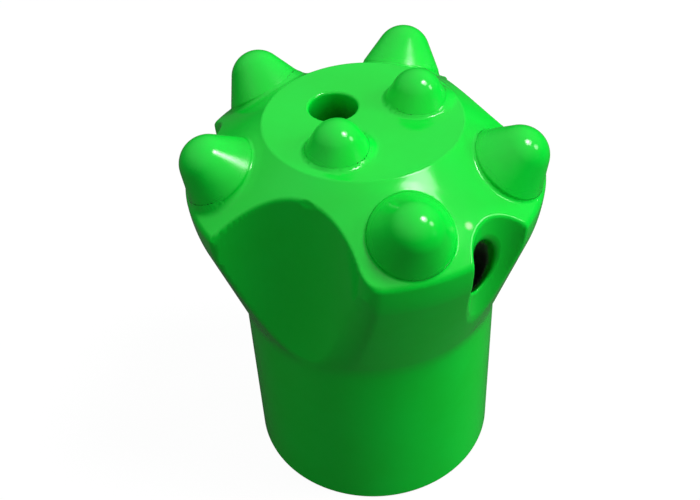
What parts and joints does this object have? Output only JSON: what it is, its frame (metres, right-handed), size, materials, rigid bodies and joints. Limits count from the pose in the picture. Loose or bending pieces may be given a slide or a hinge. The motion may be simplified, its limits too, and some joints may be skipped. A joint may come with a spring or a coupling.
{
  "type": "button drill bit",
  "caption": "Tapered rock drill bit with a fluted, conical head, domed carbide buttons on its gauge and front faces, and flushing holes.",
  "frame": {"origin": "centre of the tapered socket's mouth, in the plane of the skirt's end", "axes": "+Z along the bit's axis, from the skirt towards the front face; +X lies 18 degrees past gauge button 3, towards gauge button 4"},
  "size_m": [0.04, 0.04, 0.0514],
  "materials": {
    "body_enamel": "thick glossy bright green enamel over steel",
    "button_enamel": "thick glossy bright green enamel over tungsten carbide"
  },
  "bodies": {
    "root": {"body": "body_enamel", "gauge_button_1": "button_enamel", "gauge_button_2": "button_enamel", "gauge_button_3": "button_enamel", "gauge_button_4": "button_enamel", "gauge_button_5": "button_enamel", "front_button_1": "button_enamel", "front_button_2": "button_enamel"}
  },
  "joints": []
}
